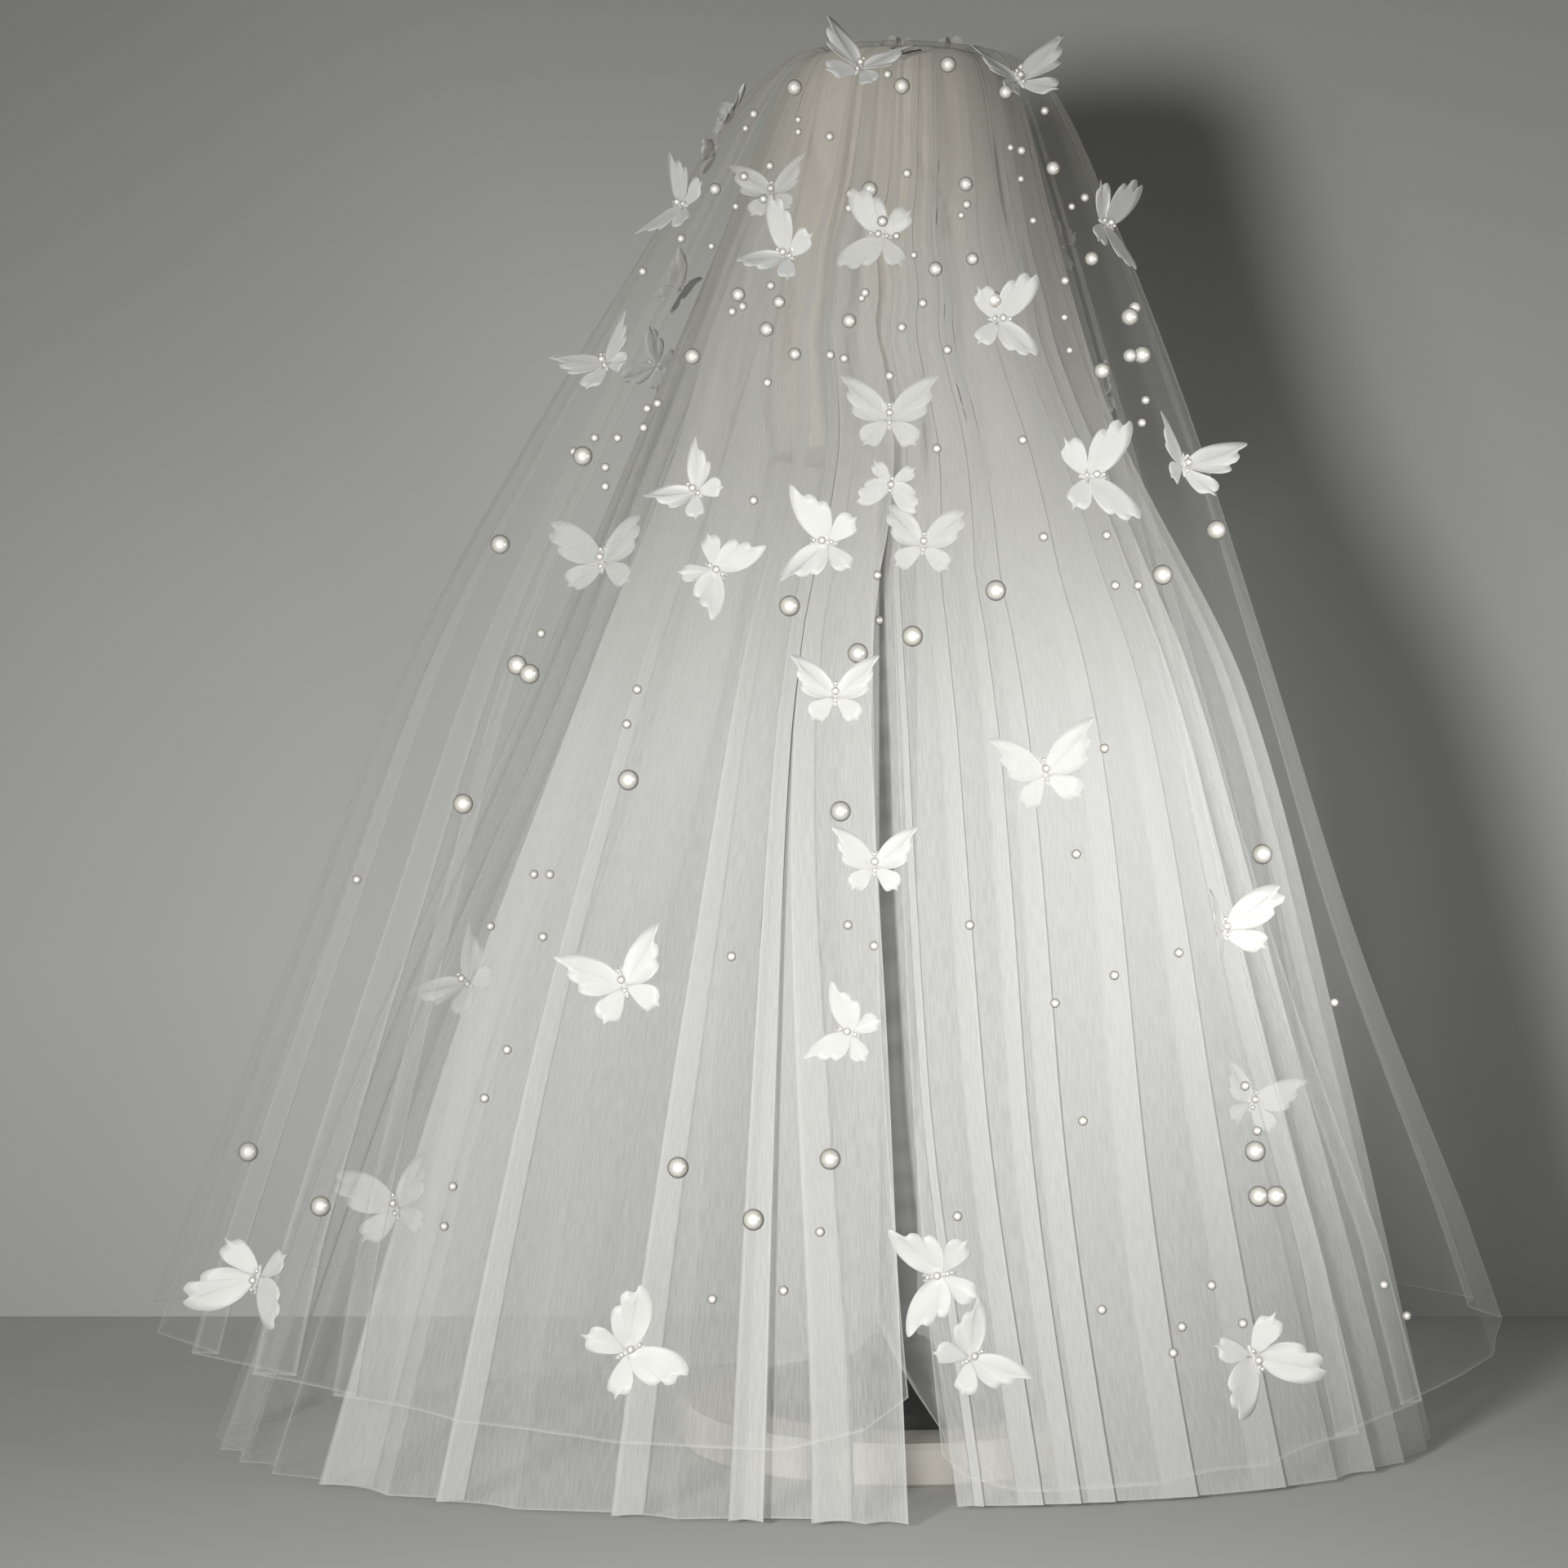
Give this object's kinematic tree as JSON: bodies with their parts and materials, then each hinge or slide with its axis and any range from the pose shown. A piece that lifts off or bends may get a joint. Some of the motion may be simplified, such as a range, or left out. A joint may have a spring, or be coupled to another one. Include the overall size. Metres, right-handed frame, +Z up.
{
  "type": "bridal veil on display stand",
  "caption": "Two-tier gathered tulle veil, open at the front, with cloth butterflies and pearl beads, hung over the padded block of a round-footed display stand.",
  "frame": {"origin": "centre of the stand's foot, on the surface it stands on", "axes": "+Z up along the stand's pole, -Y towards the veil's front opening, +X to the right as seen from the front"},
  "size_m": [0.7807, 0.4913, 0.8103],
  "materials": {
    "tulle": "sheer white tulle net",
    "satin": "matte white satin organza",
    "pearl": "cream pearl lustre",
    "comb_wire": "dark wire",
    "cream_foot": "cream satin paint",
    "charcoal_metal": "charcoal satin paint",
    "beige_cloth": "beige linen cover"
  },
  "bodies": {
    "root": {"long_tier": "tulle", "short_tier": "tulle", "heading_ruffle": "tulle", "comb": "comb_wire", "stand_foot": "cream_foot", "stand_weight": "charcoal_metal", "stand_pole": "charcoal_metal", "stand_block": "beige_cloth", "butterfly_01": "satin", "butterfly_02": "satin", "butterfly_03": "satin", "butterfly_04": "satin", "butterfly_05": "satin", "butterfly_06": "satin", "butterfly_07": "satin", "butterfly_08": "satin", "butterfly_09": "satin", "butterfly_10": "satin", "butterfly_11": "satin", "butterfly_12": "satin", "butterfly_13": "satin", "butterfly_14": "satin", "butterfly_15": "satin", "butterfly_16": "satin", "butterfly_17": "satin", "butterfly_18": "satin", "butterfly_19": "satin", "butterfly_20": "satin", "butterfly_21": "satin", "butterfly_22": "satin", "butterfly_23": "satin", "butterfly_24": "satin", "butterfly_25": "satin", "butterfly_26": "satin", "butterfly_27": "satin", "butterfly_28": "satin", "butterfly_29": "satin", "butterfly_30": "satin", "butterfly_31": "satin", "butterfly_32": "satin", "butterfly_33": "satin", "butterfly_34": "satin", "butterfly_35": "satin", "butterfly_36": "satin", "butterfly_37": "satin", "butterfly_38": "satin"}
  },
  "joints": []
}
